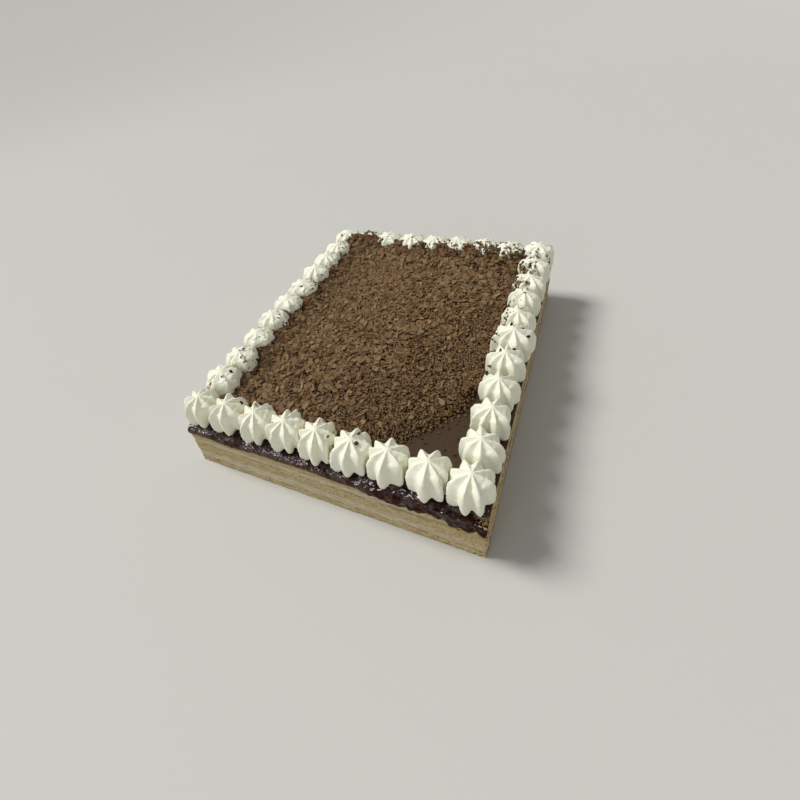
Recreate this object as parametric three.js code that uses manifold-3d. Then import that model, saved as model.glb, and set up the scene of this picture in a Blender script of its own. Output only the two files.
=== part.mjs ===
// A sheet cake: three sponges and two creams under a poured chocolate glaze, with a piped
// border of cream rosettes round the top and a heap of chocolate flakes inside the border.
// Millimetres, +Z up. X runs along the front, to the right, and Y runs to the back.
// The origin is on the resting face, under the middle of the cake.

import * as THREE from "three";
import { mergeVertices } from "three/addons/utils/BufferGeometryUtils.js";
import Module from "manifold-3d";

const wasm = await Module();
wasm.setup();

// ---------------------------------------------------------------- driving dimensions

// The border sets the plan of the cake: rosettes stand a pitch apart, corner to corner.
const ROSETTES_WIDE = 9;
const ROSETTES_DEEP = 11;
const PITCH_X = 34;
const PITCH_Y = 35.2;
const ROSETTE_INSET = 17;
const CAKE_X = (ROSETTES_WIDE - 1) * PITCH_X + 2 * ROSETTE_INSET;
const CAKE_Y = (ROSETTES_DEEP - 1) * PITCH_Y + 2 * ROSETTE_INSET;

// Layers from the bottom up. A cream stands back from the cut faces by its inset.
const LAYERS = [
  { name: "sponge_bottom", thick: 8, inset: 0, kind: "sponge" },
  { name: "cream_lower", thick: 11.3, inset: 0.5, kind: "cream" },
  { name: "sponge_middle", thick: 11.5, inset: 0, kind: "sponge" },
  { name: "cream_upper", thick: 7.7, inset: 0.5, kind: "cream" },
  { name: "sponge_top", thick: 10, inset: 0, kind: "sponge" },
];
const LAYER_WAVE = 0.7;
const WAVE_X = 47;
const WAVE_Y = 58;
const LAYER_CELLS = 5;
const GLAZE_THICK = 5.5;
const GLAZE_THIN = 2.2;
const GAP = 0.3;

// The glaze hangs over the front and back edges as a lip with a few drips.
const LIP_THICK = 2;
const LIP_HANG = 9;
const LIP_STEP = 12;
const HEM_WAVES = [
  { high: 0.6, long: 9 },
  { high: 0.5, long: 23 },
];
const FRONT_DRIPS = [
  { at: -95, half: 26, drop: 1.2 },
  { at: 86, half: 44, drop: 5.5 },
  { at: 134, half: 14, drop: 10 },
  { at: 149.5, half: 2.6, drop: 19 },
];
const BACK_DRIPS = [
  { at: -128, half: 16, drop: 7 },
  { at: -30, half: 38, drop: 3.5 },
  { at: 74, half: 22, drop: 5 },
];

// A rosette is the star of an eight-toothed piping tip, pressed down and lifted off. The tip
// was held the same way all along the border, so its ridges start near the same angle.
const RIDGES = 8;
const VALLEY = 0.76;
const ROSETTE_RADIUS = 20.3;
const ROSETTE_HEIGHT = 33.5;
const RIDGE_START = -0.1;
const RIDGE_STRAY = 0.08;
const ROSETTE_TWIST = -0.15;
const ROSETTE_LEAN = 1.4;
const LARGE_ROSETTE = { name: "rosette_right_5", scale: 1.18 };
const ROSETTE_PROFILE = [
  [0, 0],
  [0.8, 0],
  [0.99, 0.2],
  [0.97, 0.68],
  [0.77, 0.88],
  [0.29, 0.955],
  [0, 1],
];

// The heap of flakes: its level, its banks against the border, high at the back, lower at the
// left and least at the rear of the right side, and the corner that it leaves bare.
const HEAP_LEVEL = 6.5;
const HEAP_LUMP = 1.3;
const LUMP_X = 17;
const LUMP_Y = 26;
const BANK_BACK = 16;
const BANK_LEFT = 9;
const BANK_RIGHT = 5;
const BANK_REACH = 13;
const HEAP_CELL = 19;
const HEAP_EDGE = 0.3;
const BORDER_REACH = 23;
const BORDER_NOTCH = 17.5;
const LARGE_REACH = 27;
const BARE_X = 44;
const BARE_Y = 54;
const BARE_BOW = 5;
const BARE_RAGGED = 2;

// ---------------------------------------------------------------- materials

const colour = (hex, roughness) =>
  new THREE.MeshStandardMaterial({ color: hex, roughness, metalness: 0 });
const MATERIALS = {
  sponge: () => colour(0xc4a97a, 0.95),
  cream: () => colour(0xd8cdb2, 0.6),
  glaze: () => colour(0x2e1a14, 0.22),
  flakes: () => colour(0x6e5037, 0.75),
  rosette: () => colour(0xeeeedd, 0.5),
};

// ---------------------------------------------------------------- helpers

// A repeatable source of small differences, drawn evenly between two values.
function randomSource(seed) {
  let state = seed;
  return (low, high) => {
    state = (state * 1664525 + 1013904223) % 4294967296;
    return low + ((high - low) * state) / 4294967296;
  };
}

function eachPoint(geometry, move) {
  const position = geometry.attributes.position;
  const point = new THREE.Vector3();
  for (let i = 0; i < position.count; i++) {
    point.fromBufferAttribute(position, i);
    move(point, i);
    position.setXYZ(i, point.x, point.y, point.z);
  }
  return geometry;
}

// A closed geometry as a solid: only positions count, and slivers at a pole are dropped.
function toSolid(geometry) {
  const bare = geometry.clone();
  bare.deleteAttribute("normal");
  bare.deleteAttribute("uv");
  const merged = mergeVertices(bare, 1e-4);
  const index = merged.index.array;
  const kept = [];
  for (let i = 0; i < index.length; i += 3) {
    const [a, b, c] = index.slice(i, i + 3);
    if (a !== b && b !== c && c !== a) kept.push(a, b, c);
  }
  return new wasm.Manifold(
    new wasm.Mesh({
      numProp: 3,
      vertProperties: merged.attributes.position.array,
      triVerts: new Uint32Array(kept),
    }),
  );
}

function toGeometry(solid) {
  const { vertProperties, triVerts } = solid.getMesh();
  const geometry = new THREE.BufferGeometry();
  geometry.setAttribute("position", new THREE.BufferAttribute(vertProperties, 3));
  geometry.setIndex(new THREE.BufferAttribute(triVerts, 1));
  geometry.computeVertexNormals();
  return geometry;
}

function boxBetween(low, high) {
  const size = high.clone().sub(low);
  const box = new THREE.BoxGeometry(size.x, size.y, size.z);
  const middle = low.clone().add(high).multiplyScalar(0.5);
  return box.translate(middle.x, middle.y, middle.z);
}

function named(name, kind, geometry) {
  const mesh = new THREE.Mesh(geometry, MATERIALS[kind]());
  mesh.name = name;
  return mesh;
}

// ---------------------------------------------------------------- layers

const layerTops = [];
let stacked = 0;
for (const layer of LAYERS) {
  stacked += layer.thick;
  layerTops.push(stacked);
}
const GLAZE_BOTTOM = stacked;
const CAKE_TOP = GLAZE_BOTTOM + GLAZE_THICK;

// The meeting faces roll gently. The resting face is flat, and towards the right edge the
// top sponge rises, where the glaze was spread thinner.
function meetingHeight(level, x, y) {
  if (level < 0) return 0;
  const phase = 2 * level;
  const roll = (Math.sin(x / WAVE_X + phase) + Math.cos(y / WAVE_Y - phase)) / 2;
  if (level < LAYERS.length - 1) return layerTops[level] + LAYER_WAVE * roll;
  const near = THREE.MathUtils.smoothstep(x, CAKE_X / 3, CAKE_X / 2);
  return GLAZE_BOTTOM + (GLAZE_THICK - GLAZE_THIN) * near;
}

function layerMesh(layer, level) {
  const width = CAKE_X - 2 * layer.inset;
  const depth = CAKE_Y - 2 * layer.inset;
  const slab = new THREE.BoxGeometry(width, depth, 1, LAYER_CELLS, LAYER_CELLS, 1);
  eachPoint(slab, (p) => {
    const above = p.z > 0;
    const face = meetingHeight(above ? level : level - 1, p.x, p.y);
    p.z = above ? face - GAP : face;
  });
  return named(layer.name, layer.kind, slab);
}

// ---------------------------------------------------------------- glaze

// How far the lip hangs below the top at x: an even hem with rounded drips added.
function lipHang(drips, x) {
  let hang = LIP_HANG;
  for (const { high, long } of HEM_WAVES) hang += high * Math.sin(x / long);
  for (const drip of drips) {
    const t = Math.abs(x - drip.at) / drip.half;
    if (t < 1) hang += drip.drop * Math.sqrt(1 - t * t);
  }
  return hang;
}

function lipSolid(drips) {
  const stations = new Set();
  const half = CAKE_X / 2;
  for (let x = -half; x <= half; x += LIP_STEP) stations.add(x);
  for (const { at, half: reach } of drips)
    for (const t of [-1, -0.8, 0, 0.8, 1])
      stations.add(Math.min(at + reach * t, half - 0.5));
  stations.add(half);
  const outline = new THREE.Shape();
  outline.moveTo(-half, CAKE_TOP);
  for (const x of [...stations].sort((a, b) => a - b))
    outline.lineTo(x, CAKE_TOP - lipHang(drips, x));
  outline.lineTo(half, CAKE_TOP);
  const lip = new THREE.ExtrudeGeometry(outline, { depth: LIP_THICK, bevelEnabled: false });
  return toSolid(lip.rotateX(Math.PI / 2));
}

function glazeMesh() {
  const joined = CAKE_Y + 2 * (GAP + LIP_THICK / 2);
  const slab = new THREE.BoxGeometry(CAKE_X, joined, 1, LAYER_CELLS, 1, 1);
  const top = LAYERS.length - 1;
  eachPoint(slab, (p) => {
    p.z = p.z > 0 ? CAKE_TOP : meetingHeight(top, p.x, p.y);
  });
  const face = CAKE_Y / 2 + GAP;
  const front = lipSolid(FRONT_DRIPS).translate([0, -face, 0]);
  const back = lipSolid(BACK_DRIPS).translate([0, face + LIP_THICK, 0]);
  return named("glaze", "glaze", toGeometry(toSolid(slab).add(front).add(back)));
}

// ---------------------------------------------------------------- rosettes

function rosetteGeometry({ name, scale, seed }) {
  const between = randomSource(seed);
  const radius = ROSETTE_RADIUS * scale * between(0.98, 1.02);
  const height = ROSETTE_HEIGHT * (name === LARGE_ROSETTE.name ? 1.04 : between(0.97, 1.03));
  const start = RIDGE_START + between(-RIDGE_STRAY, RIDGE_STRAY);
  const lean = new THREE.Vector2(between(-1, 1), between(-1, 1)).multiplyScalar(ROSETTE_LEAN);
  const columns = Array.from({ length: 2 * RIDGES }, (_, i) => ({
    reach: i % 2 ? VALLEY * between(0.97, 1.03) : between(0.97, 1),
    turn: start + between(-RIDGE_STRAY, RIDGE_STRAY),
  }));
  const profile = ROSETTE_PROFILE.map(([r, z]) => new THREE.Vector2(r * radius, z * height));
  const star = new THREE.LatheGeometry(profile, 2 * RIDGES);
  star.rotateX(Math.PI / 2);
  return eachPoint(star, (p, i) => {
    const column = columns[Math.floor(i / profile.length) % (2 * RIDGES)];
    const rise = p.z / height;
    const turn = column.turn + ROSETTE_TWIST * rise;
    const [x, y] = [p.x * column.reach, p.y * column.reach];
    p.x = x * Math.cos(turn) - y * Math.sin(turn) + lean.x * rise;
    p.y = x * Math.sin(turn) + y * Math.cos(turn) + lean.y * rise;
  });
}

// The border as one ring, counted from the front left corner anticlockwise from above.
function borderRing() {
  const [right, back] = [ROSETTES_WIDE - 1, ROSETTES_DEEP - 1];
  const ring = [];
  for (let i = 0; i <= right; i++) ring.push(["rosette_front_" + (i + 1), i, 0]);
  for (let j = 1; j < back; j++) ring.push(["rosette_right_" + j, right, j]);
  for (let i = right; i >= 0; i--) ring.push(["rosette_back_" + (i + 1), i, back]);
  for (let j = back - 1; j > 0; j--) ring.push(["rosette_left_" + j, 0, j]);
  return ring.map(([name, i, j], n) => ({
    name,
    seed: 101 + 37 * n,
    scale: name === LARGE_ROSETTE.name ? LARGE_ROSETTE.scale : 1,
    x: (i - right / 2) * PITCH_X,
    y: (j - back / 2) * PITCH_Y,
  }));
}

// Neighbours in the border are pressed flat against each other, midway by their size.
function pressedRosette(spot, neighbours) {
  const reach = 2 * ROSETTE_RADIUS;
  const low = new THREE.Vector3(-reach, -reach, -1);
  const high = new THREE.Vector3(reach, reach, 2 * ROSETTE_HEIGHT);
  for (const other of neighbours) {
    for (const axis of ["x", "y"]) {
      const between = other[axis] - spot[axis];
      if (between === 0) continue;
      const share = (Math.abs(between) * spot.scale) / (spot.scale + other.scale) - GAP / 2;
      if (between > 0) high[axis] = share;
      else low[axis] = -share;
    }
  }
  const pressed = toSolid(rosetteGeometry(spot)).intersect(toSolid(boxBetween(low, high)));
  const mesh = named(spot.name, "rosette", toGeometry(pressed));
  mesh.position.set(spot.x, spot.y, CAKE_TOP + GAP);
  return mesh;
}

// ---------------------------------------------------------------- flakes

// The heap's edge follows the border: out to each notch between rosettes and in past each
// rosette. At the front right corner it stops short in a bowed line and leaves glaze bare.
function heapOutline(ring) {
  const halfX = CAKE_X / 2 - ROSETTE_INSET;
  const halfY = CAKE_Y / 2 - ROSETTE_INSET;
  const side = (count, pitch, half, place) =>
    Array.from({ length: 2 * count - 5 }, (_, k) => {
      const reach = k % 2 ? BORDER_NOTCH : BORDER_REACH;
      return place((k / 2 + 1) * pitch - half, reach);
    });
  const large = ring.find((spot) => spot.name === LARGE_ROSETTE.name);
  const corner = { x: halfX - BORDER_REACH, y: BORDER_REACH - halfY };
  const front = side(ROSETTES_WIDE, PITCH_X, halfX, (s, reach) => [s, reach - halfY]);
  const right = side(ROSETTES_DEEP, PITCH_Y, halfY, (s, reach) => {
    const inside = Math.abs(s - large.y) < PITCH_Y / 4 ? LARGE_REACH : reach;
    return [halfX - inside, s];
  });
  const back = side(ROSETTES_WIDE, PITCH_X, halfX, (s, reach) => [-s, halfY - reach]);
  const left = side(ROSETTES_DEEP, PITCH_Y, halfY, (s, reach) => [reach - halfX, -s]);
  const bare = [0.2, 0.4, 0.6, 0.8].map((t) => {
    const bow = BARE_BOW * Math.sin(Math.PI * t) + BARE_RAGGED * Math.sin(9 * t);
    return [corner.x - BARE_X * (1 - t) - bow, corner.y + BARE_Y * t + bow];
  });
  return [
    ...front.filter(([x]) => x < corner.x - BARE_X),
    ...bare,
    ...right.filter(([, y]) => y > corner.y + BARE_Y),
    ...back,
    ...left,
  ];
}

function heapHeight(x, y) {
  const halfX = CAKE_X / 2 - ROSETTE_INSET - BORDER_NOTCH;
  const halfY = CAKE_Y / 2 - ROSETTE_INSET - BORDER_NOTCH;
  const bank = (high, distance) => high * Math.exp(-Math.max(distance, 0) / BANK_REACH);
  const rear = THREE.MathUtils.smoothstep(y, 0, halfY / 2);
  const banks = Math.max(
    bank(BANK_BACK, halfY - y),
    bank(BANK_LEFT, x + halfX),
    bank(BANK_RIGHT * rear, halfX - x),
  );
  const lump = Math.sin(x / LUMP_X + 2 * Math.sin(y / LUMP_Y)) * Math.cos(y / LUMP_Y);
  const inwards = (halfX - x) / (2 * BARE_X) + (y + halfY) / (2 * BARE_Y);
  const full = THREE.MathUtils.smoothstep(inwards, HEAP_EDGE, 1);
  return (HEAP_LEVEL + banks + HEAP_LUMP * lump) * (HEAP_EDGE + (1 - HEAP_EDGE) * full);
}

function heapMesh(ring) {
  const across = Math.round(CAKE_X / HEAP_CELL);
  const along = Math.round(CAKE_Y / HEAP_CELL);
  const field = new THREE.BoxGeometry(CAKE_X, CAKE_Y, 1, across, along, 1);
  eachPoint(field, (p) => {
    p.z = p.z > 0 ? heapHeight(p.x, p.y) : 0;
  });
  const outline = new THREE.Shape(heapOutline(ring).map(([x, y]) => new THREE.Vector2(x, y)));
  const depth = 2 * ROSETTE_HEIGHT;
  const prism = new THREE.ExtrudeGeometry(outline, { depth, bevelEnabled: false });
  prism.translate(0, 0, -depth / 2);
  const heap = named("flakes", "flakes", toGeometry(toSolid(field).intersect(toSolid(prism))));
  heap.position.z = CAKE_TOP + GAP;
  return heap;
}

// ---------------------------------------------------------------- the cake

const cake = new THREE.Group();
cake.name = "sheet_cake";
LAYERS.forEach((layer, level) => cake.add(layerMesh(layer, level)));
cake.add(glazeMesh());

const ring = borderRing();
const border = new THREE.Group();
ring.forEach((spot, n) => {
  const before = ring[(n + ring.length - 1) % ring.length];
  const after = ring[(n + 1) % ring.length];
  border.add(pressedRosette(spot, [before, after]));
});
cake.add(border);
cake.add(heapMesh(ring));

// The rosettes lean a little each way, so the origin is set under the middle of the whole.
const middle = new THREE.Box3().setFromObject(cake, true).getCenter(new THREE.Vector3());
cake.position.set(-middle.x, -middle.y, 0);

export default cake;
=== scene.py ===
# %% [markdown]
# # A sheet cake, layer by layer
# The cake was baked flat, filled twice with cream, covered with poured chocolate and finished
# with a piped border and a heap of chocolate flakes. Its solids are already packed at their real
# size, so the first step loads them, and every later step reads its places from them.

# %% Load the solids
import math
from functools import partial

import bmesh
import bpy
import numpy as np
from mathutils import Matrix, Vector, noise
from mathutils.bvhtree import BVHTree


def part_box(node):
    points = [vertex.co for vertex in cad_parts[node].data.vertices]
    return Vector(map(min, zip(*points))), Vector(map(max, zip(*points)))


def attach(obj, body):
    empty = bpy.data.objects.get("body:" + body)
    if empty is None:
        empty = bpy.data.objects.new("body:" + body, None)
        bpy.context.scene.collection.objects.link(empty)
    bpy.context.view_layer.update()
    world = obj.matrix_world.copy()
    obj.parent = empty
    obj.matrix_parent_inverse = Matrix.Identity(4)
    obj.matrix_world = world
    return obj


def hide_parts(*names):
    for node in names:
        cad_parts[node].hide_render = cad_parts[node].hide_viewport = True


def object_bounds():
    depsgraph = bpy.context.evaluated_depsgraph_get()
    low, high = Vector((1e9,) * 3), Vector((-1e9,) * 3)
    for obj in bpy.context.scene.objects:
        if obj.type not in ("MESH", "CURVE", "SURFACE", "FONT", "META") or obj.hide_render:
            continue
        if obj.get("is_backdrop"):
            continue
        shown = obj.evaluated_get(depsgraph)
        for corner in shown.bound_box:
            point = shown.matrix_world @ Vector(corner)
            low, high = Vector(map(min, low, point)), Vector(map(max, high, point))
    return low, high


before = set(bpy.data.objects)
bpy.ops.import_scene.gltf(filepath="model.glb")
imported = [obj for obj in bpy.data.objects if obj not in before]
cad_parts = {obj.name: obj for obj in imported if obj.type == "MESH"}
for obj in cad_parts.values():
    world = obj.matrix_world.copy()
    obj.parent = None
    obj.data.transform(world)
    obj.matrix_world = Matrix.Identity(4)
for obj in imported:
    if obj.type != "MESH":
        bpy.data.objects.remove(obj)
cad_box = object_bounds()
MM = 0.001
SPARE = 0.05 * MM  # what stays free between a made piece and the box of the solids
print("solids:", len(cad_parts), "box mm:", [round(v / MM, 1) for v in cad_box[1] - cad_box[0]])


def put(name, data):
    """A new object in the scene: a mesh, a camera or a light."""
    thing = bpy.data.objects.new(name, data)
    bpy.context.scene.collection.objects.link(thing)
    return thing


# %% [markdown]
# ## Camera
# The cake is seen from over its front right corner, from close by, so its near corner looks large
# and its far side small. A wide lens shows that. The camera is held a little askew, and its three
# directions are given outright, because two angles can't say how it is turned about its own axis.
# The lens is shifted slightly, since the cake lies off the middle of the picture.

# %% Place the camera
CAMERA_PLACE = Vector((185.0, -386.2, 402.0)) * MM
CAMERA_RIGHT = Vector((0.8946, 0.4201, -0.1528)).normalized()
CAMERA_AHEAD = Vector((-0.4226, 0.6835, -0.5952)).normalized()
LENS_MM = 21.02
LENS_SHIFT = (0.0625, -0.1)

camera = put("camera", bpy.data.cameras.new("camera"))
camera.data.lens = LENS_MM
camera.data.shift_x, camera.data.shift_y = LENS_SHIFT
camera_up = CAMERA_RIGHT.cross(CAMERA_AHEAD)
camera.matrix_world = Matrix.Translation(CAMERA_PLACE) @ Matrix(
    (CAMERA_RIGHT, camera_up, -CAMERA_AHEAD)
).transposed().to_4x4()
bpy.context.scene.camera = camera
print("camera looks down by", round(math.degrees(math.asin(-CAMERA_AHEAD.z)), 1), "degrees")

# %% [markdown]
# ## Colours and materials
# Colours are noted as hex values, the way a colour picker gives them, and one function turns them
# into the linear values that the renderer counts in. One more function adds a node together with
# its options and links. The four kinds of nodes that come up again and again, clouds, ramps,
# products and mixes, get functions of their own, so that each material reads as a short recipe.

# %% Colour and node helpers
def tone(code):
    """An sRGB hex colour as linear red, green, blue and full alpha."""
    parts = [int(code[i : i + 2], 16) / 255 for i in (0, 2, 4)]
    linear = [p / 12.92 if p <= 0.04045 else ((p + 0.055) / 1.055) ** 2.4 for p in parts]
    return (*linear, 1.0)


def plug(node, inputs):
    """Sets a node's inputs to values, or links them to the outputs that feed them."""
    for socket, value in inputs.items():
        if isinstance(value, bpy.types.NodeSocket):
            node.id_data.links.new(value, node.inputs[socket])
        else:
            node.inputs[socket].default_value = value


def add_node(tree, kind, inputs, out=0, **options):
    """Adds a shader node with its own options and its inputs, and gives back one output of it."""
    node = tree.nodes.new("ShaderNode" + kind)
    for option, value in options.items():
        setattr(node, option, value)
    plug(node, inputs)
    return node.outputs[out]


def new_material(name, **sockets):
    """A material, its Principled shader with the sockets given, _ standing for a space, and the
    function that adds nodes to it."""
    material = bpy.data.materials.new(name)
    material.use_nodes = True
    shader = material.node_tree.nodes["Principled BSDF"]
    plug(shader, {socket.replace("_", " "): value for socket, value in sockets.items()})
    return material, shader, partial(add_node, material.node_tree)


bpy.context.scene.view_settings.view_transform = "Standard"
print("a grey of 808080 is", round(tone("808080")[0], 3), "in linear light")


# %% Clouds, ramps and mixes
def clouds(vector, size, **inputs):
    """Cloudy noise, in swellings of a size in millimetres."""
    inputs |= {"Vector": vector, "Scale": 1 / (size * MM)}
    return add_node(vector.id_data, "TexNoise", inputs)


def ramp(value, low, high, bottom=0.0, top=1.0):
    """Spreads what lies between low and high from bottom to top."""
    ends = {"From Min": low, "From Max": high, "To Min": bottom, "To Max": top}
    return add_node(value.id_data, "MapRange", {"Value": value, **ends})


def times(value, other):
    """Two values multiplied."""
    return add_node(value.id_data, "Math", {0: value, 1: other}, operation="MULTIPLY")


def blend(part, *colours):
    """A mix of two colours, each a hex value or a node's output. At part 0 it is the first."""
    first, second = (tone(c) if isinstance(c, str) else c for c in colours)
    # A Mix node keeps its sockets for colours, 6 and 7, behind those for numbers.
    return add_node(part.id_data, "Mix", {0: part, 6: first, 7: second}, 2, data_type="RGBA")


# %% [markdown]
# ### Whipped cream
# Stiffly whipped cream with a little sugar. It is warm white, light sinks a millimetre or two into
# it, and it has a soft satin shine. Fine air bubbles roughen it only slightly. Red light goes
# deepest, which keeps its shadows warm.

# %% Whipped cream
CREAM_RADIUS = (1.0, 0.85, 0.6)
CREAM_DEPTH = 1.5 * MM
cream_white, shader, add = new_material(
    "whipped_cream", Roughness=0.5, Subsurface_Weight=0.08, Subsurface_Scale=CREAM_DEPTH,
    Subsurface_Radius=CREAM_RADIUS, IOR=1.4,
)
place = add("TexCoord", {}, "Object")
patches = clouds(place, 14, Detail=2.0)
body = blend(patches, "F4F4E4", "ECEBD6")
bubbles = clouds(place, 1.1, Detail=3.0)
dents = add("Bump", {"Height": bubbles, "Distance": 0.12 * MM, "Strength": 0.5})
plug(shader, {"Base Color": body, "Normal": dents})

# %% [markdown]
# ### Cream filling
# The two fillings were cut through with a long knife. They are duller and greyer than the piped
# cream, and the knife has dragged them out sideways in faint streaks. It carried crumbs along
# where the sponge was torn, and right under the glaze chocolate has soaked in. Two attributes say
# where: `crumbly` is 1 where the crumb is torn, and `stain` is 1 next to the glaze.

# %% Cream filling
cream_filling, shader, add = new_material(
    "cream_filling", Roughness=0.65, Subsurface_Weight=0.1, Subsurface_Scale=CREAM_DEPTH,
    Subsurface_Radius=CREAM_RADIUS, IOR=1.4,
)
place = add("TexCoord", {}, "Object")
drawn = add("Mapping", {"Vector": place, "Scale": (1.0, 1.0, 6.0)})
streaks = clouds(drawn, 9, Detail=6.0, Roughness=0.7)
drag_marks = ramp(streaks, 0.38, 0.66)
body = blend(drag_marks, "D6CAB1", "AB9C76")
crumbs = clouds(place, 3.2, Detail=4.0)
caught = ramp(crumbs, 0.48, 0.62)
for attribute, colour in (("crumbly", "B99F67"), ("stain", "8E5229")):
    part = add("Attribute", {}, "Fac", attribute_name=attribute)
    patchy = times(part, caught)
    body = blend(patchy, body, colour)
grain = clouds(drawn, 3)
dents = add("Bump", {"Height": grain, "Distance": 0.6 * MM})
plug(shader, {"Base Color": body, "Normal": dents})

# %% [markdown]
# ### Sponge
# A pale vanilla sponge, cut clean. Its crumb is fine and matt, the cut has smeared cream over it
# in long streaks, and the baked skin at each border shows as a broken brown line. Towards the
# right front corner the knife tore the crumb open. A third attribute joins the two of the
# filling: `skin` is 1 at a border between layers.

# %% Colours of the crumb
sponge_crumb, shader, add = new_material("sponge_crumb", Roughness=0.9, IOR=1.35)
place = add("TexCoord", {}, "Object")
drawn = add("Mapping", {"Vector": place, "Scale": (1.0, 1.0, 5.0)})
streaks = clouds(drawn, 10, Detail=6.0, Roughness=0.7)
smear = ramp(streaks, 0.46, 0.62)
crumb = clouds(place, 2.6, Detail=5.0, Roughness=0.7)
mottle = ramp(crumb, 0.33, 0.68)
crumbly, skin, stain = (
    add("Attribute", {}, "Fac", attribute_name=key) for key in ("crumbly", "skin", "stain")
)
clean_cut = blend(mottle, "CAB888", "967F4E")
torn = blend(mottle, "D9C58F", "9C7E43")
baked = blend(crumbly, clean_cut, torn)
smeared = times(smear, 0.85)
creamy = blend(smeared, baked, "C6BB9C")

# %% Skin, stain and pores of the crumb
specks = clouds(drawn, 6, Detail=5.0, Roughness=0.75)
broken = times(skin, specks)
browned = ramp(broken, 0.4, 0.6, top=0.75)
spots = clouds(place, 3.4, Detail=2.0)
toasted = ramp(spots, 0.64, 0.7, top=0.55)
brown = add("Math", {0: browned, 1: toasted}, operation="MAXIMUM")
body = blend(brown, creamy, "795227")
patchy = times(stain, mottle)
soaked = blend(patchy, body, "824B2A")
pores = add("TexVoronoi", {"Vector": place, "Scale": 1 / (1.6 * MM)})
dents = add("Bump", {"Height": pores, "Distance": 0.6 * MM, "Strength": 0.8})
plug(shader, {"Base Color": soaked, "Normal": dents})

# %% [markdown]
# ### Poured chocolate
# Dark glaze, poured warm and left to set. It is nearly black where it is thick and turns reddish
# brown where it thins out at its hem. On the flat top it set dull and even, on the lip it kept a
# patchy sheen, and at the front right it is still wet. Four attributes say where: `hem` is 1 at
# the thin hem, `flat` on the level top, `wet` on the wet part, and `upward` where the lip faces
# the sky and can catch its sheen.

# %% Colour of the glaze
dark_glaze, shader, add = new_material(
    "dark_chocolate_glaze", IOR=1.45, Specular_Tint=tone("FFF2F0")
)
place = add("TexCoord", {}, "Object")
hem, flat, wet, upward = (
    add("Attribute", {}, "Fac", attribute_name=key) for key in ("hem", "flat", "wet", "upward")
)
cloud = clouds(place, 4, Detail=5.0)
thinned = times(hem, cloud)
thick = blend(wet, "2E1912", "250E08")
sheer = ramp(cloud, 0.5, 0.75)
sheer_wet = times(sheer, wet)
deep = blend(sheer_wet, thick, "48210F")
body = blend(thinned, deep, "8C6046")
dusty = blend(flat, body, "41301F")

# %% Gloss and waves of the glaze
set_dull = ramp(cloud, 0.3, 0.7, 0.22, 0.34)
gloss = add("Mix", {0: wet, 2: set_dull, 3: 0.12})
level = add("Mix", {0: flat, 2: gloss, 3: 0.55})
dried = clouds(place, 11, Detail=1.0)
patches = ramp(dried, 0.42, 0.58, 0.25)
evened = add("Mix", {0: flat, 2: patches, 3: 0.4})
shine = times(upward, evened)
waves = clouds(place, 3.6, Detail=0.8)
smooth_wet = add("Mix", {0: wet, 2: 1.0, 3: 0.25})
calm = add("Mix", {0: flat, 2: smooth_wet, 3: 0.1})
dents = add("Bump", {"Height": waves, "Distance": 2.4 * MM, "Strength": calm})
plug(shader, {"Base Color": dusty, "Roughness": level, "Specular IOR Level": shine, "Normal": dents})

# %% [markdown]
# ### Chocolate flakes
# Milk chocolate, shaved off a block. A shaving is matt and waxy, and each one has its own shade,
# because its broken faces catch more or less light. The attribute `shade` holds that, one value
# for a whole flake. It also carries painted shade: it is lowest on the core under the flakes and
# lower on flakes next to the border.

# %% Chocolate flakes
SHADES = {0.0: "311F0E", 0.3: "694C2F", 0.5: "7D5F3D", 0.65: "7A654A", 0.8: "866B49", 1.0: "957B57"}
milk_chocolate, shader, add = new_material(
    "milk_chocolate_shavings", Roughness=0.65, IOR=1.45, Specular_IOR_Level=0.25
)
place = add("TexCoord", {}, "Object")
shade = add("Attribute", {}, "Fac", attribute_name="shade")
body = add("ValToRGB", {"Fac": shade})
stops = body.node.color_ramp.elements
for at in list(SHADES)[1:-1]:
    stops.new(at)
for stop, (at, colour) in zip(stops, SHADES.items()):
    stop.position, stop.color = at, tone(colour)
bloom = clouds(place, 1.5, Detail=4.0)
veil = ramp(bloom, 0.45, 1.0, top=0.2)
dusty = blend(veil, body, "8E7857")
dents = add("Bump", {"Height": bloom, "Distance": 0.25 * MM})
plug(shader, {"Base Color": dusty, "Normal": dents})
print("materials:", [m.name for m in bpy.data.materials])

# %% [markdown]
# ## Shaping helpers
# Nearly every piece here is a grid of points wrapped into a shape, like a sheet of paper rolled
# into a tube. The grid comes from bmesh, an array gives each point its place, and then doubled
# points are merged and open ends are closed. Relief comes from smooth random numbers.

# %% Relief and curves
def rough(points, size, seed=0):
    """Smooth random numbers from -1 to 1 at the points, in swellings of the given size."""
    shift = Vector((7.3, 3.1, 5.7)) * seed
    found = [noise.noise(Vector(p) + shift) for p in points.reshape(-1, 3) / size]
    return np.array(found).reshape(points.shape[:-1])


def relief(points, *swellings):
    """Several such numbers added up, each given by its height, its size in mm and its seed."""
    return sum(height * rough(points, size * MM, seed) for height, size, seed in swellings)


def along(line):
    """How far each point lies along a line of points."""
    return np.concatenate([[0], np.cumsum(np.linalg.norm(np.diff(line, axis=0), axis=1))])


def evenly(line, count):
    """The same line with evenly spaced points."""
    far = along(line)
    steps = np.linspace(0, far[-1], count)
    return np.stack([np.interp(steps, far, line[:, k]) for k in range(line.shape[1])], axis=1)


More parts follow.
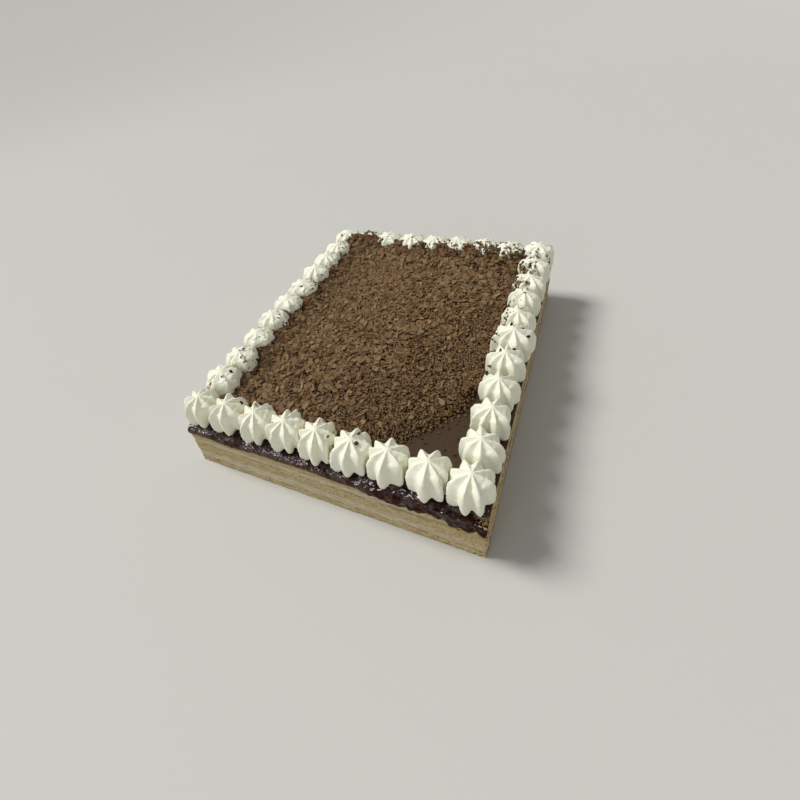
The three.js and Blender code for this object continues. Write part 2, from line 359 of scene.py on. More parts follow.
def smooth_line(corners, count):
    """A curve through the corners, as evenly spaced points."""
    corners = np.asarray(corners, float)
    ends = np.vstack([2 * corners[0] - corners[1], corners, 2 * corners[-1] - corners[-2]])
    t = np.linspace(0, 1, 12, endpoint=False)[:, None]
    spans = []
    for a, b, c, d in zip(ends, ends[1:], ends[2:], ends[3:]):
        bend = (2 * a - 5 * b + 4 * c - d) * t**2 + (3 * b - a - 3 * c + d) * t**3
        spans.append(0.5 * (2 * b + (c - a) * t + bend))
    return evenly(np.vstack([*spans, corners[-1:]]), count)


# %% Grids and pieces
def grid_through(points, values=None):
    """A bmesh grid through rows of points, shape (rows, columns, 3). Values become attributes."""
    rows, columns = points.shape[:2]
    bm = bmesh.new()
    bmesh.ops.create_grid(bm, x_segments=columns - 1, y_segments=rows - 1, size=1.0)
    layers = {key: bm.verts.layers.float.new(key) for key in values or {}}
    for v in bm.verts:
        column = round((v.co.x + 1) / 2 * (columns - 1))
        row = round((v.co.y + 1) / 2 * (rows - 1))
        v.co = points[row, column]
        for key, layer in layers.items():
            v[layer] = values[key][row, column]
    return bm


def mount(name, mesh, material, slot):
    """Puts a mesh into the scene as a piece that rides on the cake."""
    mesh.materials.append(material)
    piece = put(name, mesh)
    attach(piece, "root")
    return piece


def finish(name, bm, material, slot):
    """Turns a bmesh into a smooth piece."""
    bmesh.ops.recalc_face_normals(bm, faces=bm.faces)
    mesh = bpy.data.meshes.new(name)
    bm.to_mesh(mesh)
    bm.free()
    mesh.shade_smooth()
    return mount(name, mesh, material, slot)


def wrap(name, points, material, slot, values=None):
    """A closed piece from rows of points. The last column meets the first one, and the first and
    the last row are each closed by one face or meet in a pole."""
    bm = grid_through(points, values)
    bmesh.ops.remove_doubles(bm, verts=bm.verts, dist=1e-3 * MM)
    rim = [e for e in bm.edges if e.is_boundary]
    if rim:
        bmesh.ops.holes_fill(bm, edges=rim, sides=0)
    return finish(name, bm, material, slot)


# %% Measuring a piece
SKY = 1.0  # a height well above the cake, in metres


def search_tree(mesh):
    """A search tree of a mesh, for dropping things onto it."""
    return BVHTree.FromPolygons(
        [v.co.copy() for v in mesh.vertices], [tuple(f.vertices) for f in mesh.polygons]
    )


def drop(search, x, y):
    """Where a thing dropped at x, y lands, and the slope there. Beside the mesh both are None."""
    return search.ray_cast(Vector((x, y, SKY)), Vector((0, 0, -1)))[:2]


def height_over(search, x, y):
    """The top of a mesh over the place x, y. Beside it there is none."""
    spot = drop(search, x, y)[0]
    return spot.z if spot else math.nan


sponge_search = search_tree(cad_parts["sponge_top"].data)
print("top sponge ends at mm", round(height_over(sponge_search, 0, 0) / MM, 1))

# %% [markdown]
# ## Sponge and cream
# The cut sides show three sponges and two fillings. A knife never cuts food quite flat, so each
# border wanders a little, the sponge's crumb stands out and the soft cream is drawn in. Each
# layer is one closed sheet: its cut side runs round the cake in small cells, and its top and
# bottom, hidden in the cake, are plain. Its plan is a plane with bevelled corners.

# %% Plan of the cake
SIDE_CELL = 0.75 * MM
CORNER = 2.5 * MM
cake_low, cake_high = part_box("sponge_bottom")
half_x, half_y = (cake_high.x - cake_low.x) / 2, (cake_high.y - cake_low.y) / 2
centre_x, centre_y = (cake_high.x + cake_low.x) / 2, (cake_high.y + cake_low.y) / 2


def cut_outline(spacing):
    """Points round the cake's plan with their outward directions."""
    bm = bmesh.new()
    bmesh.ops.create_grid(bm, x_segments=1, y_segments=1, size=1.0)
    bmesh.ops.scale(bm, verts=bm.verts, vec=(half_x, half_y, 1))
    bmesh.ops.bevel(
        bm, geom=bm.verts[:], affect="VERTICES", offset=CORNER, offset_type="OFFSET",
        segments=4, profile=0.5, material=-1,
    )
    face = max(bm.faces, key=lambda f: f.calc_area())
    ring = np.array([v.co[:2] for v in face.verts])
    bm.free()
    ring = np.vstack([ring, ring[:1]])
    plan = evenly(ring, round(along(ring)[-1] / spacing) + 1)
    ahead = np.roll(plan[:-1], -1, axis=0) - np.roll(plan[:-1], 1, axis=0)
    out = np.stack([ahead[:, 1], -ahead[:, 0]], axis=1)
    out /= np.linalg.norm(out, axis=1)[:, None]
    out *= np.sign((out * plan[:-1]).sum(axis=1))[:, None]
    return plan + [centre_x, centre_y], np.vstack([out, out[:1]])


plan, outward = cut_outline(SIDE_CELL)
torn = np.clip((plan[:, 0] - centre_x) / half_x * 1.5 - 0.4, 0, 1)
torn *= np.clip((centre_y - plan[:, 1]) / half_y * 2 - 0.5, 0.3, 1)
print("cut outline:", len(plan), "points, torn at", int((torn > 0.5).sum()))

# %% Borders of the layers
LAYERS = ["sponge_bottom", "cream_lower", "sponge_middle", "cream_upper", "sponge_top"]
inside = plan - 2 * MM * outward
plan3 = np.column_stack([plan, np.zeros(len(plan))])
borders = [np.full(len(plan), cake_low.z)]
for level, node in enumerate(LAYERS):
    search = search_tree(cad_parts[node].data)
    tops = np.array([height_over(search, x, y) for x, y in inside])
    wander = relief(plan3, (0.7, 11, level), (0.35, 3, level + 9)) * (1 + 0.8 * torn)
    borders.append(tops + 0.15 * MM + (0.8 * MM * wander if node != LAYERS[-1] else 0))
print("layers end at mm", [round(float(b.mean()) / MM, 1) for b in borders])

# %% [markdown]
# The chocolate that hangs over the front and the back edge decides how far the top sponge is
# stained, so the hem of that lip comes first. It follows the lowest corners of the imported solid,
# and relief in two sizes makes it ragged, most of all towards the right.

# %% Where the glaze ends
STATION = 0.8 * MM
LIP_HANGS = 4 * MM  # corners this far under the top belong to the lip
KEY = 0.5 * MM  # corners closer together than this are one
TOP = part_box("glaze")[1].z


def hem_line(side):
    """Where the lip ends below, along X: the lowest corners of the solid's lip on one side."""
    edge = centre_y + side * (half_y + 1 * MM)
    found = {}
    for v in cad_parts["glaze"].data.vertices:
        if side * (v.co.y - edge) > 0 and v.co.z < TOP - LIP_HANGS:
            key = round(v.co.x / KEY)
            found[key] = min(found.get(key, SKY), v.co.z)
    keys = sorted(found)
    return np.array(keys) * KEY, np.array([found[k] for k in keys])


stations = np.linspace(cake_low.x + 0.2 * MM, cake_high.x - 0.2 * MM, round(2 * half_x / STATION))
line3 = np.column_stack([stations, np.zeros((len(stations), 2))])
uneven = np.clip((stations - centre_x) / (50 * MM), 0, 1)
hems = {}
for side in (-1, 1):
    even = np.interp(stations, *hem_line(side))
    even = np.convolve(np.pad(even, 2, mode="edge"), np.ones(5) / 5, mode="valid")
    ragged = relief(line3, (0.7, 6, 4 + side), (0.4, 2.2, 8 + side))
    ragged += 1.4 * rough(line3, 8 * MM, 12 + side) * uneven
    hems[side] = even + MM * np.minimum(ragged, 0.8)
    hems[side][-8:] = np.maximum(hems[side][-8:], hems[side][-9])
    print("lip", side, "hangs to mm", round(float(hems[side].min()) / MM, 1))

# %% Build one layer
# How far a cut side lies in, how high its bumps stand and how far it wanders, in millimetres.
CUT_SIDES = {"sponge": (0.1, 0.35, 0.45), "cream": (0.5, 0.12, 0.5)}
MADE_OF = {"sponge": (sponge_crumb, "sponge"), "cream": (cream_filling, "cream_filling")}
INWARDS = (12 * MM, 3 * MM, 0.7 * MM)
front_hem, back_hem = (np.interp(plan[:, 0], stations, hems[side]) for side in (-1, 1))
long_side = np.abs(outward[:, 1]) > 0.5


def cut_relief(ring, kind, level, bumps, drag):
    """How far one row of a cut side stands out from the plan."""
    shift = bumps * rough(ring, 1.6 * MM, level + 3) + drag * rough(ring * [1, 1, 2.5], 9 * MM, level)
    if kind == "sponge":
        shelves = rough(ring * [1, 1, 2], 4.5 * MM, level + 5)
        shift += torn * MM * (1.1 * shelves + 0.6 * rough(ring, 1.9 * MM, level + 6) - 0.3)
    return shift


def layer_piece(node, level):
    """One layer: rows climb from inside its underside, out, up the cut and in over its top."""
    kind = node.split("_")[0]
    inset, bumps, drag = (v * MM for v in CUT_SIDES[kind])
    low, high = borders[level], borders[level + 1]
    climb = np.linspace(0, 1, max(6, round(float((high - low).mean()) / SIDE_CELL)))
    steps = [(back, 0.0) for back in INWARDS]
    steps += [(0.0, c) for c in climb] + [(back, 1.0) for back in INWARDS[::-1]]
    crumbly = np.tile(torn * np.where(np.abs(outward[:, 0]) > 0.7, 0.5, 1), (len(steps), 1))
    soaked_from = np.where(long_side, np.where(outward[:, 1] < 0, front_hem, back_hem), high)
    points, skin, stained = [], [], []
    for back, rise in steps:
        z = low + (high - low) * rise
        if node == "sponge_top":
            z = np.where(long_side, np.minimum(z, high - 3.2 * MM + back), z)
        ring = np.column_stack([plan - (back + inset) * outward, z])
        if back == 0:
            shift = cut_relief(ring, kind, level, bumps, drag)
            if rise in (0.0, 1.0):
                shift -= 0.5 * MM * torn
            ring[:, :2] += shift[:, None] * outward
        points.append(ring)
        skin.append(np.full(len(plan), 1 - min(1, min(rise, 1 - rise) * 5)))
        soak = np.clip(1.2 - (soaked_from - z) / (3.5 * MM), 0, 1)
        peach = 0.35 * (outward[:, 0] > 0.7) * (kind == "sponge")
        stained.append(soak * (0.5 + 0.5 * torn) + peach)
    values = {"skin": np.array(skin), "crumbly": crumbly, "stain": np.array(stained)}
    piece = wrap(node + "_cut", np.array(points), *MADE_OF[kind], values)
    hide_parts(node)
    return piece


for level, node in enumerate(LAYERS):
    piece = layer_piece(node, level)
    print(piece.name, len(piece.data.polygons), "faces")

# %% [markdown]
# ## Poured glaze
# The glaze lies over the top sponge, rounds the front and the back edge and hangs there as a lip
# with a few drips. To the left and right it was cut off with the cake. One sheet makes it all: at
# each station along the edge a closed section is drawn, and the sections are wrapped in a row.
# The lip bulges more towards the right, where the chocolate ran together.

# %% Glaze sections
SECTION_POINTS = 190
LIP_POINTS = 56
# How far in from its edge and how far up the lip's outer side runs: millimetres and parts.
LIP_SHAPE = (
    (0, 0), (0.1, 0.22), (0.6, 0.42), (1.7, 0.58), (3.6, 0.71), (6.2, 0.83), (9.2, 0.94), (13, 1),
)


def glaze_edge(x, side, under, hem_z):
    """One edge of the glaze cut across at x: from the sponge out, round the hem and up the lip."""
    face = centre_y + side * (half_y + 0.15 * MM)
    swell = 0.25 * noise.noise(Vector((x / (7 * MM), side * 3.0, 0))) * MM
    bulge = 0.8 + np.clip((x - centre_x) / (40 * MM), 0, 1) * 1.1
    out = face + side * (bulge * MM + swell)
    return [
        (face, under),
        (face, hem_z + 1.3 * MM),
        (face + side * 0.25 * bulge * MM, hem_z + 0.3 * MM),
        (face + side * 0.6 * bulge * MM, hem_z),
        *[(out - side * inward * MM, hem_z + 1.1 * MM + (TOP - hem_z - 1.4 * MM) * risen)
          for inward, risen in LIP_SHAPE],
    ]


sections = []
for i, x in enumerate(stations):
    under = height_over(sponge_search, x, centre_y) + 0.1 * MM
    front, back = (glaze_edge(x, side, under, hems[side][i]) for side in (-1, 1))
    line = np.vstack([
        smooth_line(front, LIP_POINTS),
        smooth_line([front[-1], back[-1]], SECTION_POINTS - 2 * LIP_POINTS)[1:-1],
        smooth_line(back[::-1], LIP_POINTS),
    ])
    line = np.vstack([line, line[:1]])
    sections.append(np.column_stack([np.full(len(line), x), line]))
sections = np.array(sections)
print("glaze grid", sections.shape)

# %% Relief of the glaze
INNER_POINTS = 15  # of a section, hidden between the lip and the sponge
from_side = (np.abs(sections[..., 1] - centre_y) - half_y) / MM
down = (TOP - sections[..., 2]) / MM
in_front = sections[..., 1] < centre_y
along_y, along_z = np.gradient(sections[..., 1], axis=1), np.gradient(sections[..., 2], axis=1)
stretch = np.maximum(np.hypot(along_y, along_z), 1e-9)
normal_y, normal_z = -along_z / stretch, along_y / stretch
on_top = (down < 1.0) & (from_side < -9.5)
outer_sheet = np.zeros(sections.shape[:2], bool)
outer_sheet[:, INNER_POINTS : SECTION_POINTS - INNER_POINTS] = True
wet = np.clip((sections[..., 0] - centre_x) / (40 * MM) - 0.6, 0, 1)
lumps = 0.6 * rough(sections, 6 * MM, 2) + 0.5 * rough(sections, 2.6 * MM, 5) * (1 - 0.7 * wet)
lumps += wet * relief(sections, (2.0, 7, 6), (0.9, 4, 8))
lumps = np.maximum(lumps, -0.9)
calm = relief(sections, (0.35, 13, 3), (0.15, 4, 4)) - 0.2
lift = np.where(outer_sheet & (from_side > -14), lumps, 0) * np.clip((from_side + 14) / 5, 0, 1)
lift = np.where(on_top, lift + calm * np.clip(-from_side / 12, 0, 1), lift) * MM
sections[..., 1] += lift * normal_y
sections[..., 2] = np.minimum(sections[..., 2] + lift * normal_z, TOP)
sections[:, -1] = sections[:, 0]
sections[..., 1] = np.clip(sections[..., 1], cad_box[0].y + SPARE, cad_box[1].y - SPARE)
print("relief of the glaze, mm:", round(float(np.ptp(lift)) / MM, 1))

# %% Finish of the glaze
hem_z = np.where(in_front, hems[-1][:, None], hems[1][:, None])
above_hem = (sections[..., 2] - hem_z) / MM
thin = np.clip(1.5 - above_hem / 2.4, 0, 1) * (from_side > -1) * (1 - 0.5 * wet)
upward = np.clip((normal_z * outer_sheet - 0.05) / 0.4, 0.08, 1)
glaze = wrap(
    "poured_glaze", sections, dark_glaze, "chocolate_glaze",
    {"hem": thin, "flat": on_top * 1.0, "wet": wet, "upward": upward},
)
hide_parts("glaze")
print("glaze", len(glaze.data.polygons), "faces")

# %% [markdown]
# ## Piped rosettes
# The border was piped with a large eight-toothed star tip, held upright: pressed until the cream
# swells, then let go and lifted. That leaves eight thin crests that run from the tip of the
# rosette outwards and down, with smooth hollows between them. Lathe and star are combined: a
# profile is turned round the axis, and between the crests it is pushed in along its own normal,
# which keeps the hollows as deep on the top as on the sides. Neighbours press each other flat.
# No two are alike: each has its own size, turn, twist and lean, a few have a ragged far side, and
# the crests of the far rows are low and rough.

# %% Rosette profile
CRESTS = 8
CREST_COLUMNS = 12
PROFILE = smooth_line(
    [(0.74, 0.0), (0.86, 0.06), (0.96, 0.18), (1.0, 0.38), (0.98, 0.6), (0.9, 0.77),
     (0.75, 0.88), (0.5, 0.94), (0.29, 0.965), (0.15, 0.985), (0.06, 0.997), (0.0, 1.0)],
    46,
)
CREST_POWER = (1.4, 2.3)  # a higher power draws a thinner crest: at the tip and at the foot
step = np.linspace(0, CRESTS, CRESTS * CREST_COLUMNS + 1)
crest = np.floor(step).astype(int) % CRESTS
part = step - np.floor(step)
eased = (1 - np.cos(np.pi * part)) / 2
AROUND = (np.floor(step) + 0.5 * (part + eased)) * 2 * np.pi / CRESTS
swing = np.abs(np.sin(np.pi * 0.5 * (part + eased)))
power = CREST_POWER[1] + (CREST_POWER[0] - CREST_POWER[1]) * PROFILE[:, 1] / PROFILE[:, 1].max()
HOLLOW = swing[None, :] ** power[:, None]
RING = PROFILE[:, 0] / 0.42
FADE = np.clip((RING - 0.22) / 1.1, 0, 1)
print("a rosette has", len(PROFILE), "rows and", len(step), "columns")


# %% Star shape
def mixed(values):
    """A value for each crest, passing smoothly into the next one round the rosette."""
    return values[crest] * (1 - eased) + values[(crest + 1) % CRESTS] * eased


def star_shape(spread, tall, reach, depth):
    """Radius and height of each point of a rosette, and how far each row's skin faces up."""
    edge = np.stack([np.gradient(PROFILE[:, 0]), np.gradient(PROFILE[:, 1]) * tall / spread], axis=1)
    edge /= np.linalg.norm(edge, axis=1)[:, None]
    normal_r, normal_z = edge[:, 1], -edge[:, 0]
    bite = mixed(depth) * HOLLOW
    r = PROFILE[:, 0][:, None] * mixed(reach) - bite * (FADE * normal_r)[:, None]
    z = PROFILE[:, 1][:, None] * tall / spread - bite * (FADE * normal_z)[:, None] * 0.8
    return np.maximum(r, 0) * spread, np.maximum(z, 0) * spread, normal_z


def soft_limit(value, low, high, ease):
    """Keeps value between low and high, easing in over the last stretch before each."""
    over, under = (value - high + ease) / ease, (value - low - ease) / ease
    value = np.where(value > high - ease, high - ease + ease * np.tanh(over), value)
    return np.where(value < low + ease, low + ease + ease * np.tanh(under), value)


# %% Build one rosette
ROSETTE_SPREAD = 20.3 * MM
PRESSED = 2.5 * MM  # how far a neighbour presses into a rosette's side
FRONT_TURNS = (-20, -21, -18, -15, 10, 9, 6, -6, -4)
FRONT_FEET = ((-2.5, 2.5),) * 4 + ((-2.3, 1.0),) * 2 + ((-2.3, 0.0), (0.0, 0.0), (0.0, 0.0))
FRAYED = {
    "rosette_front_3": 2.6, "rosette_front_4": 3.2, "rosette_front_5": 2.2, "rosette_right_8": 2.2,
}


def rosette(node, x, y, seed):
    """One piped rosette around the axis at x, y."""
    draw = np.random.default_rng(seed)
    side, number = node.split("_")[1:]
    distant = side in ("back", "left")
    low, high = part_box(node)
    spread = ROSETTE_SPREAD * (1.18 if node == "rosette_right_5" else draw.uniform(0.98, 1.04))
    spread *= 0.95 if side == "right" else 1
    foot = low.z - 0.5 * MM
    tall = high.z - foot
    start = draw.uniform(-0.35, 0.35)
    strays = draw.uniform(-0.15, 0.15, CRESTS)
    reach = draw.uniform(0.93, 1.04, CRESTS)
    depth = draw.uniform(0.21, 0.29, CRESTS) * (0.45 if distant else 1)
    twist = draw.uniform(-0.16, 0.04)
    lean = draw.uniform(-1.3, 1.3, 2) * MM
    if side == "front":
        start = math.radians(FRONT_TURNS[int(number) - 1])
        aside = np.array(FRONT_FEET[int(number) - 1]) * MM
        x, y, lean = x + aside[0], y + aside[1], 0.3 * lean - aside
    r, z, normal_z = star_shape(spread, tall, reach, depth)
    rise = z / tall
    turn = start + AROUND + mixed(strays) + twist * rise
    px = x + r * np.cos(turn) + lean[0] * rise**2
    py = y + r * np.sin(turn) + lean[1] * rise**2
    points = np.stack([px, py, foot + z], axis=-1)
    fray = relief(points, (0.55, 2, seed), (0.7, 5, seed + 1))
    fray *= 2.2 if distant else 1 + (FRAYED.get(node, 1) - 1) * np.clip(1.5 * np.sin(turn), 0, 1)
    ragged = (0.4 + 0.6 * (1 - HOLLOW) ** 2) * fray * MM * np.clip(RING, 0, 1)[:, None]
    points[..., 0] += ragged * np.cos(turn)
    points[..., 1] += ragged * np.sin(turn)
    points[..., 2] += ragged * normal_z[:, None] * 0.5
    for k in (0, 1):
        points[..., k] = soft_limit(points[..., k], low[k] + SPARE, high[k] - SPARE, PRESSED)
    points[..., 2] = np.minimum(points[..., 2], high.z)
    points[:, -1] = points[:, 0]
    piece = wrap("piped_" + node, points, cream_white, "piped_cream")
    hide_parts(node)
    return piece


# %% Pipe the border
ROSETTES_WIDE, ROSETTES_DEEP, ROSETTE_INSET = 9, 11, 17 * MM
spots_x = np.linspace(cake_low.x + ROSETTE_INSET, cake_high.x - ROSETTE_INSET, ROSETTES_WIDE)
spots_y = np.linspace(cake_low.y + ROSETTE_INSET, cake_high.y - ROSETTE_INSET, ROSETTES_DEEP)
spots = {}
for i, x in enumerate(spots_x, 1):
    spots[f"rosette_front_{i}"] = (x, spots_y[0])
    spots[f"rosette_back_{i}"] = (x, spots_y[-1])
for j, y in enumerate(spots_y[1:-1], 1):
    spots[f"rosette_right_{j}"] = (spots_x[-1], y)
    spots[f"rosette_left_{j}"] = (spots_x[0], y)
rosettes = {node: rosette(node, x, y, 40 + n) for n, (node, (x, y)) in enumerate(spots.items())}
print("rosettes:", len(rosettes), "faces each:", len(rosettes["rosette_front_1"].data.polygons))

# %% [markdown]
# ## Heap of flakes
# Under the loose flakes lies a rough core, a little lower than the heap. It is coloured the
# darkest brown as painted shade for the gaps between the flakes. On it lie some forty-three
# thousand shavings in five sizes, the largest at the back left. Each kind is one joined mesh, made
# from a dozen shapes that are copied with numpy: a Python loop over each flake would take minutes.
# The height of the heap is measured on the imported solid and banked up against the far rosettes,
# and at the front right corner it runs out and leaves the glaze bare.

# %% Height of the heap
HEAP_CELL = 1.6 * MM
heap_search = search_tree(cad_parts["flakes"].data)
field_x = np.arange(spots_x[0] + 8 * MM, spots_x[-1] - 8 * MM, HEAP_CELL)
field_y = np.arange(spots_y[0] + 8 * MM, spots_y[-1] - 8 * MM, HEAP_CELL)
grid_x, grid_y = np.meshgrid(field_x, field_y)
grid3 = np.stack([grid_x, grid_y, 0 * grid_x], axis=-1)
heights = np.array([[height_over(heap_search, x, y) for x in field_x] for y in field_y])
bare = np.isnan(heights) & (grid_x > centre_x + 50 * MM) & (grid_y < centre_y - 95 * MM)
up_side = (grid_y - spots_y[0]) / (spots_y[3] - spots_y[0])
strip = (28 - 6 * up_side) * MM + 3 * MM * rough(grid3, 7 * MM, 25)
bare |= (grid_x > spots_x[-1] - strip) & (up_side < 1)
while np.isnan(heights).any():
    framed = np.pad(heights, 1, constant_values=np.nan)
    sides = [framed[1:-1, :-2], framed[1:-1, 2:], framed[:-2, 1:-1], framed[2:, 1:-1]]
    counts = np.sum([~np.isnan(part) for part in sides], axis=0)
    near = np.nansum(sides, axis=0) / np.maximum(counts, 1)
    heights = np.where(np.isnan(heights) & (counts > 0), near, heights)
print("heap measured at", heights.size, "cells, bare:", int(bare.sum()))

# %% Banks, mound and taper
FAR = 1.0  # metres, farther than any cell
from_axis, away = np.full(grid_x.shape, FAR), np.full(grid_x.shape, FAR)
for x, y in spots.values():
    from_axis = np.minimum(from_axis, np.hypot(grid_x - x, grid_y - y))
for row, column in np.argwhere(bare & (from_axis > 17 * MM)):
    away = np.minimum(away, np.hypot(grid_x - grid_x[row, column], grid_y - grid_y[row, column]))
clumps = relief(grid3, (1.5, 8, 21), (1.1, 4, 22))
thinning = np.clip(26 - 17 * up_side, 9, 26) * MM
taper = np.clip(away / thinning, 0, 1) ** 1.2
behind = np.clip((grid_y - half_y + 42 * MM) / (16 * MM), 0, 1) ** 1.5
beside = np.clip((47 * MM - grid_x - half_x) / (14 * MM), 0, 1)
heights += (8 * behind + 4 * beside * (grid_y > spots_y[2])) * MM
mound = np.hypot(grid_x - spots_x[1] + 3 * MM, grid_y - spots_y[-1] + 10 * MM)
heights += 8 * MM * np.exp(-((mound / (17 * MM)) ** 2))
heap = np.where(bare, TOP, TOP + np.maximum(heights - TOP + clumps * MM, 0.3 * MM) * taper)
print("heap stands mm", round((float(heap.max()) - TOP) / MM, 1), "over the glaze")

# %% Core of the heap
CORE_DEPTH = 2.0 * MM
core_points = np.stack([grid_x, grid_y, heap], axis=-1)
crumble = relief(core_points, (0.9, 3.2, 11), (0.6, 1.7, 12))
fine_part = np.clip(0.3 - ((grid_y - centre_y) / half_y - (grid_x - centre_x) / half_x) / 2, 0, 1)
core_z = heap - (CORE_DEPTH - 0.7 * MM * fine_part) + crumble * MM
sunk = bare | (away < 7 * MM)
core_points[..., 2] = np.where(sunk, TOP - 2 * MM, np.maximum(core_z, TOP - 1 * MM))
# The core's shade stays near 0, the darkest brown of the ramp: painted shade for the gaps between the
# flakes.
bm = grid_through(core_points, {"shade": 0.1 * crumble})
for v in bmesh.ops.extrude_face_region(bm, geom=bm.faces[:])["geom"]:
    if isinstance(v, bmesh.types.BMVert):
        v.co.z = TOP - 3 * MM
FLAKES = (milk_chocolate, "chocolate_flakes")
core = finish("flake_heap_core", bm, *FLAKES)
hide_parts("flakes")
print("core", len(core.data.polygons), "faces")


# %% Shapes of single flakes
def flake_shape(sides, long, wide, thick, curl, draw):
    """One shaving: a ring with uneven corners, drawn out, thickened and curled."""
    bm = bmesh.new()
    bmesh.ops.create_circle(bm, cap_ends=True, segments=sides, radius=0.5)
    for v in bm.verts:
        v.co *= draw.uniform(0.6, 1.25)
        v.co += Vector((draw.uniform(-0.1, 0.1), draw.uniform(-0.1, 0.1), 0))
    upper = bmesh.ops.extrude_face_region(bm, geom=bm.faces[:])["geom"]
    for v in (g for g in upper if isinstance(g, bmesh.types.BMVert)):
        v.co = (v.co.x * 0.93, v.co.y * 0.93, thick / long)
    bmesh.ops.scale(bm, verts=bm.verts, vec=(long, wide, long))
    for v in bm.verts:
        v.co.z += curl * (v.co.x / long) ** 2 * long + draw.uniform(-0.1, 0.1) * thick
    bmesh.ops.recalc_face_normals(bm, faces=bm.faces)
    bm.verts.index_update()
    corners = np.array([v.co[:] for v in bm.verts])
    faces = [[v.index for v in f.verts] for f in bm.faces]
    bm.free()
    # Each face starts at its lowest corner and all are sorted, so that every run gives the same.
    return corners, sorted(f[f.index(min(f)) :] + f[: f.index(min(f))] for f in faces)


def lay(normals, tilt, draw):
    """Turns that lay a flake on a slope, each at its own angle and tipped a little."""
    count = len(normals)
    up = normals + draw.normal(0, tilt, (count, 3))
    up /= np.linalg.norm(up, axis=1)[:, None]
    spin = draw.normal(0, 1, (count, 3))
    side = spin - (spin * up).sum(axis=1)[:, None] * up
    side /= np.linalg.norm(side, axis=1)[:, None]
    return np.stack([side, np.cross(up, side), up], axis=-1)


# %% Join many small things
def scatter(name, shapes, places, turns, shades, pick, made_of=FLAKES):
    """Joins a copy of a shape for each place into one piece. The pick says which shape it is."""
    corners, loops, totals, values, offset = [], [], [], [], 0
    for s, (shape, faces) in enumerate(shapes):
        chosen = np.flatnonzero(pick == s)
        moved = np.einsum("nij,kj->nki", turns[chosen], shape) + places[chosen][:, None]
        over = np.maximum(moved.max(axis=1) - np.array(cad_box[1]) + SPARE, 0)
        under = np.minimum(moved.min(axis=1) - np.array(cad_box[0]) - SPARE, 0)
        corners.append((moved - (over + under)[:, None]).reshape(-1, 3))
        values.append(np.repeat(shades[chosen], len(shape)))
        starts = offset + len(shape) * np.arange(len(chosen))
        loops.append((starts[:, None] + np.concatenate(faces)).ravel())
        totals.append(np.tile([len(f) for f in faces], len(chosen)))
        offset += len(shape) * len(chosen)
    corners, loops, totals = np.vstack(corners), np.concatenate(loops), np.concatenate(totals)
    mesh = bpy.data.meshes.new(name)
    mesh.vertices.add(len(corners))
    mesh.vertices.foreach_set("co", corners.ravel())
    mesh.loops.add(len(loops))
    mesh.loops.foreach_set("vertex_index", loops.astype(np.int32))
    mesh.polygons.add(len(totals))
    face_starts = np.concatenate([[0], np.cumsum(totals)[:-1]]).astype(np.int32)
    mesh.polygons.foreach_set("loop_start", face_starts)
    mesh.update(calc_edges=True)
    mesh.validate()
    attribute = mesh.attributes.new("shade", "FLOAT", "POINT")
    attribute.data.foreach_set("value", np.concatenate(values))
    mesh.shade_flat()
    print(name, len(places), "pieces,", int((totals - 2).sum()), "triangles")
    return mount(name, mesh, *made_of)


# %% [markdown]
# The flakes of a kind are drawn all over the heap, and chance decides which ones stay: fewer where
# the heap runs out, none under the rosettes, and the coarse kinds more often at the back left.
# They lie on the slope of the heap in a layer a few millimetres thick, so that they shade each
# other, and next to the border they are painted darker, as shade cast by the rosettes, most on the
# left.

# %% Strew the flakes
SMALL = 4  # millimetres: kinds up to this size also lie singly on the bare glaze
slope_y, slope_x = np.gradient(heap, HEAP_CELL)
heap_normals = np.stack([-slope_x, -slope_y, np.ones(heap.shape)], axis=-1)
heap_normals /= np.linalg.norm(heap_normals, axis=-1)[..., None]


def cell_of(x, y):
    """Row and column of the heap's cell at each place."""
    cells = [np.round((at - field[0]) / HEAP_CELL) for at, field in ((y, field_y), (x, field_x))]
    return tuple(np.clip(c.astype(int), 0, n - 1) for c, n in zip(cells, heap.shape))


def chance_of(x, y, cell, coarse, small):
    """How likely a flake stays where it was drawn."""
    thinned = np.clip(0.06 + (away[cell] / (10 * MM)) ** 1.5, 0, 1)
    chance = np.where(bare[cell], 0.025 if small else 0.0, thinned)
    rear = (y > centre_y + half_y - 45 * MM) | (x < centre_x - half_x + 45 * MM)
    at_mound = np.hypot(x - spots_x[1], y - spots_y[-1]) < 30 * MM
    cream = np.where(at_mound, 9, np.where(rear, 12.5, 15.5)) * MM
    chance = np.where(from_axis[cell] < cream, 0, chance)
    back_left = 0.4 * (y - centre_y) / half_y - 0.6 * (x - centre_x) / half_x
    return chance * np.clip(0.45 + coarse * back_left, 0.01, 1)


